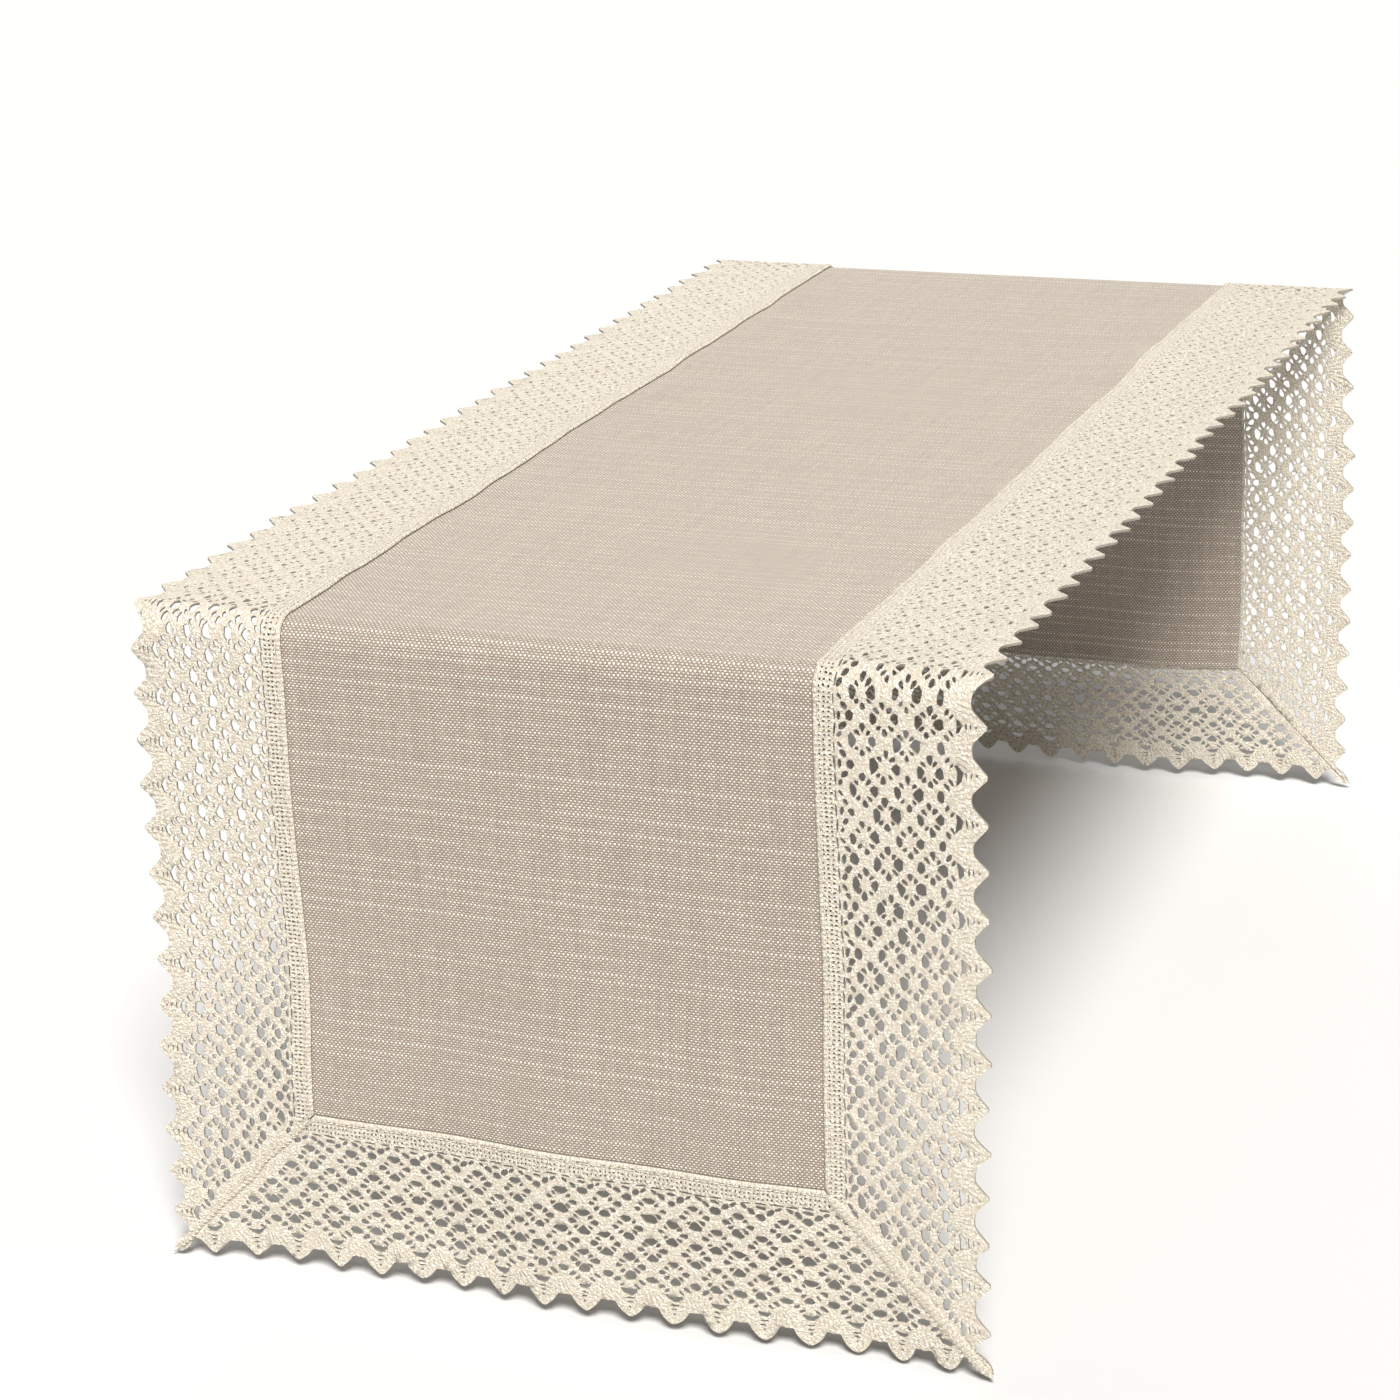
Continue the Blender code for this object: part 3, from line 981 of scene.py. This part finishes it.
def mitre_ridge(side, end, width, height, rng):
    """The turned seam at one corner, from the inner corner of the lace out to the corner scallop."""
    count = 34
    share = np.linspace(0.0, 1.0, count)
    start = np.array([side * (LACE_INNER_X + 0.0012), end * (HALF_LENGTH - LACE_WIDTH + 0.0012)])
    tip = np.array([side * (HALF_WIDTH + 0.0004), end * (HALF_LENGTH + 0.0004)])
    flat = start[None, :] + share[:, None] * (tip - start)[None, :]
    beside = np.array([side, -end]) / math.sqrt(2)
    flat = flat + beside[None, :] * (0.0009 * wander(share * 0.1, 0.04, rng.integers(1000)))[:, None]
    swell = 1.0 + 0.16 * wander(share * 0.1, 0.017, rng.integers(1000))
    taper = np.minimum(1.0, np.minimum(share / 0.05, (1.02 - share) / 0.16)) ** 0.6
    widths = width * swell * taper
    heights = height * swell
    middle = LACE_HIGH.z + height * 0.12
    path = np.concatenate([flat, np.full((count, 1), middle)], axis=1)
    ridge = tube_along(path, widths, heights * (0.4 + 0.6 * taper), 12)
    return ridge, flat, widths, middle, heights


WHIP_SLANT = 0.0008  # how far a slanted stitch leans along the ridge, on each side of it
UNSEWN = 0.003  # this much of a ridge is left bare at each end


def whip_stitches(flat, widths, middle, heights, side, end):
    """Slanted stitches over a ridge, which dip into the lace on both sides."""
    sizes = bpy.context.scene.runner_sewing
    run = np.concatenate([[0.0], np.cumsum(np.linalg.norm(np.diff(flat, axis=0), axis=1))])
    count = int((run[-1] - 2 * UNSEWN) / sizes.whip_pitch)
    ahead = (flat[-1] - flat[0]) / np.linalg.norm(flat[-1] - flat[0])
    beside = np.array([side, -end]) / math.sqrt(2)
    parts = []
    turns = np.linspace(math.pi, 0.0, 7)
    for i in range(count):
        at = UNSEWN + (i + 0.5) * sizes.whip_pitch
        centre = np.array([np.interp(at, run, flat[:, k]) for k in (0, 1)])
        reach = np.interp(at, run, widths) / 2 + 0.00035
        rise = np.interp(at, run, heights) / 2 + 0.00022
        slant = beside * reach + ahead * WHIP_SLANT
        path = [(*(centre + slant * math.cos(t)), middle + rise * math.sin(t)) for t in turns]
        parts.append(tube_along(np.array(path), sizes.thread_width, sizes.thread_width, 5))
    return parts


class RUNNER_OT_mitre_seams(bpy.types.Operator):
    """Sew the four corners, where two strips of lace meet"""

    bl_idname = "runner.mitre_seams"
    bl_label = "Mitre Seams"

    def execute(self, context):
        finish = cotton_yarn("seam_cotton", 0.0009, 1.0)
        corners = {
            "near_left": (-1, -1, 0.0018, 0.0016),
            "near_right": (1, -1, 0.0052, 0.0014),
            "far_left": (-1, 1, 0.0040, 0.0013),
            "far_right": (1, 1, 0.0026, 0.0016),
        }
        rng = np.random.default_rng(context.scene.runner_studio.seed + 9)
        for name, (side, end, width, height) in corners.items():
            ridge, flat, widths, middle, heights = mitre_ridge(side, end, width, height, rng)
            stitches = whip_stitches(flat, widths, middle, heights, side, end)
            sewn_piece(name + "_mitre", "mitre_seam_" + name, [ridge, *stitches], finish)
        return {"FINISHED"}


# ---- floor, light and camera


def broad_light(name, source, strength, spread):
    """A broad even light that shines from the direction source; spread is how wide it looks, in degrees."""
    lamp = bpy.data.lights.new(name, "SUN")
    lamp.energy = strength
    lamp.angle = math.radians(spread)
    lamp.color = (1.0, 0.985, 0.96)
    light = bpy.data.objects.new(name, lamp)
    light.location = Vector(source).normalized() * 3.0
    light.rotation_euler = Vector(source).to_track_quat("Z", "Y").to_euler()
    bpy.context.scene.collection.objects.link(light)


def floor_paint():
    """Plain pale paint with a very faint mottle."""
    studio = bpy.context.scene.runner_studio
    pot = Recipe("floor_paint")
    place = pot.add("ShaderNodeTexCoord").outputs["Object"]
    mottle = pot.noise(place, 3.0, 3.0)
    colour = pot.blend(mottle, rgba(studio.floor_paint, 0.985), rgba(studio.floor_paint, 1.0))
    roughness = pot.times_plus(mottle, 0.06, 0.85)
    return pot.finish(colour, roughness, mottle, 0.0001, 0.0)


FLOOR_GAP = 0.0035  # the floor lies this far below the part's box


def bare_floor():
    """A wide plain floor just under the hems."""
    half = 9.0
    z = CAD_BOX[0].z - FLOOR_GAP
    mesh = bpy.data.meshes.new("floor")
    corners = [(-half, -half, z), (half, -half, z), (half, half, z), (-half, half, z)]
    mesh.from_pydata(corners, [], [(0, 1, 2, 3)])
    mesh.materials.append(floor_paint())
    floor = bpy.data.objects.new("floor", mesh)
    bpy.context.scene.collection.objects.link(floor)


CAMERA_PLACE = (0.595, -1.647, 0.467)
CAMERA_HEADING = math.radians(22.175)  # to the left of straight along the runner
CAMERA_DIP = math.radians(19.29)  # below the horizon
CAMERA_ROLL = math.radians(-2.295)
FOCAL_LENGTH = 90.5  # millimetres, on a sensor 36 mm wide


def view_camera():
    """The camera, in front of the runner's near right corner and above it."""
    lens = bpy.data.cameras.new("camera")
    lens.sensor_width = 36.0
    lens.lens = FOCAL_LENGTH
    lens.clip_start = 0.05
    lens.clip_end = 60.0
    camera = bpy.data.objects.new("camera", lens)
    heading = Matrix.Rotation(CAMERA_HEADING, 4, "Z")
    dip = Matrix.Rotation(math.pi / 2 - CAMERA_DIP, 4, "X")
    roll = Matrix.Rotation(CAMERA_ROLL, 4, "Z")
    camera.matrix_world = Matrix.Translation(CAMERA_PLACE) @ heading @ dip @ roll
    bpy.context.scene.collection.objects.link(camera)
    return camera


class RUNNER_OT_studio(bpy.types.Operator):
    """Set out the floor, the lights and the camera"""

    bl_idname = "runner.studio"
    bl_label = "Studio"

    def execute(self, context):
        scene = context.scene
        studio = scene.runner_studio
        bare_floor()
        broad_light("key_light", (0.47, -0.91, 1.24), studio.key_light, 20)
        broad_light("back_light", (-0.5, 1.0, 0.45), studio.back_light, 60)
        world = bpy.data.worlds.new("surround")
        world.use_nodes = True
        sky = world.node_tree.nodes["Background"]
        sky.inputs["Color"].default_value = (1.0, 0.99, 0.97, 1.0)
        sky.inputs["Strength"].default_value = studio.sky
        scene.world = world
        scene.view_settings.view_transform = "Standard"
        scene.camera = view_camera()
        return {"FINISHED"}


# ---- panel and registration


STEPS = (
    RUNNER_OT_studio,
    RUNNER_OT_join_stitches,
    RUNNER_OT_overlocks,
    RUNNER_OT_mitre_seams,
    RUNNER_OT_cloth,
    RUNNER_OT_lace,
)


class RUNNER_PT_maker(bpy.types.Panel):
    """Lists the steps that make the runner"""

    bl_label = "Lace Edged Runner"
    bl_space_type = "VIEW_3D"
    bl_region_type = "UI"
    bl_category = "Runner"

    def draw(self, context):
        for step in STEPS:
            self.layout.operator(step.bl_idname)


SETTINGS = {
    "runner_drape": DrapeSizes,
    "runner_lace": LaceSizes,
    "runner_cloth": ClothSizes,
    "runner_sewing": SewingSizes,
    "runner_studio": StudioSettings,
}


def register():
    for name, group in SETTINGS.items():
        bpy.utils.register_class(group)
        setattr(bpy.types.Scene, name, PointerProperty(type=group))
    for step in STEPS:
        bpy.utils.register_class(step)
    bpy.utils.register_class(RUNNER_PT_maker)


def unregister():
    bpy.utils.unregister_class(RUNNER_PT_maker)
    for step in reversed(STEPS):
        bpy.utils.unregister_class(step)
    for name, group in SETTINGS.items():
        delattr(bpy.types.Scene, name)
        bpy.utils.unregister_class(group)


def main():
    """Makes the whole runner."""
    register()
    for step in STEPS:
        group, name = step.bl_idname.split(".")
        getattr(getattr(bpy.ops, group), name)()


if __name__ == "__main__":
    main()
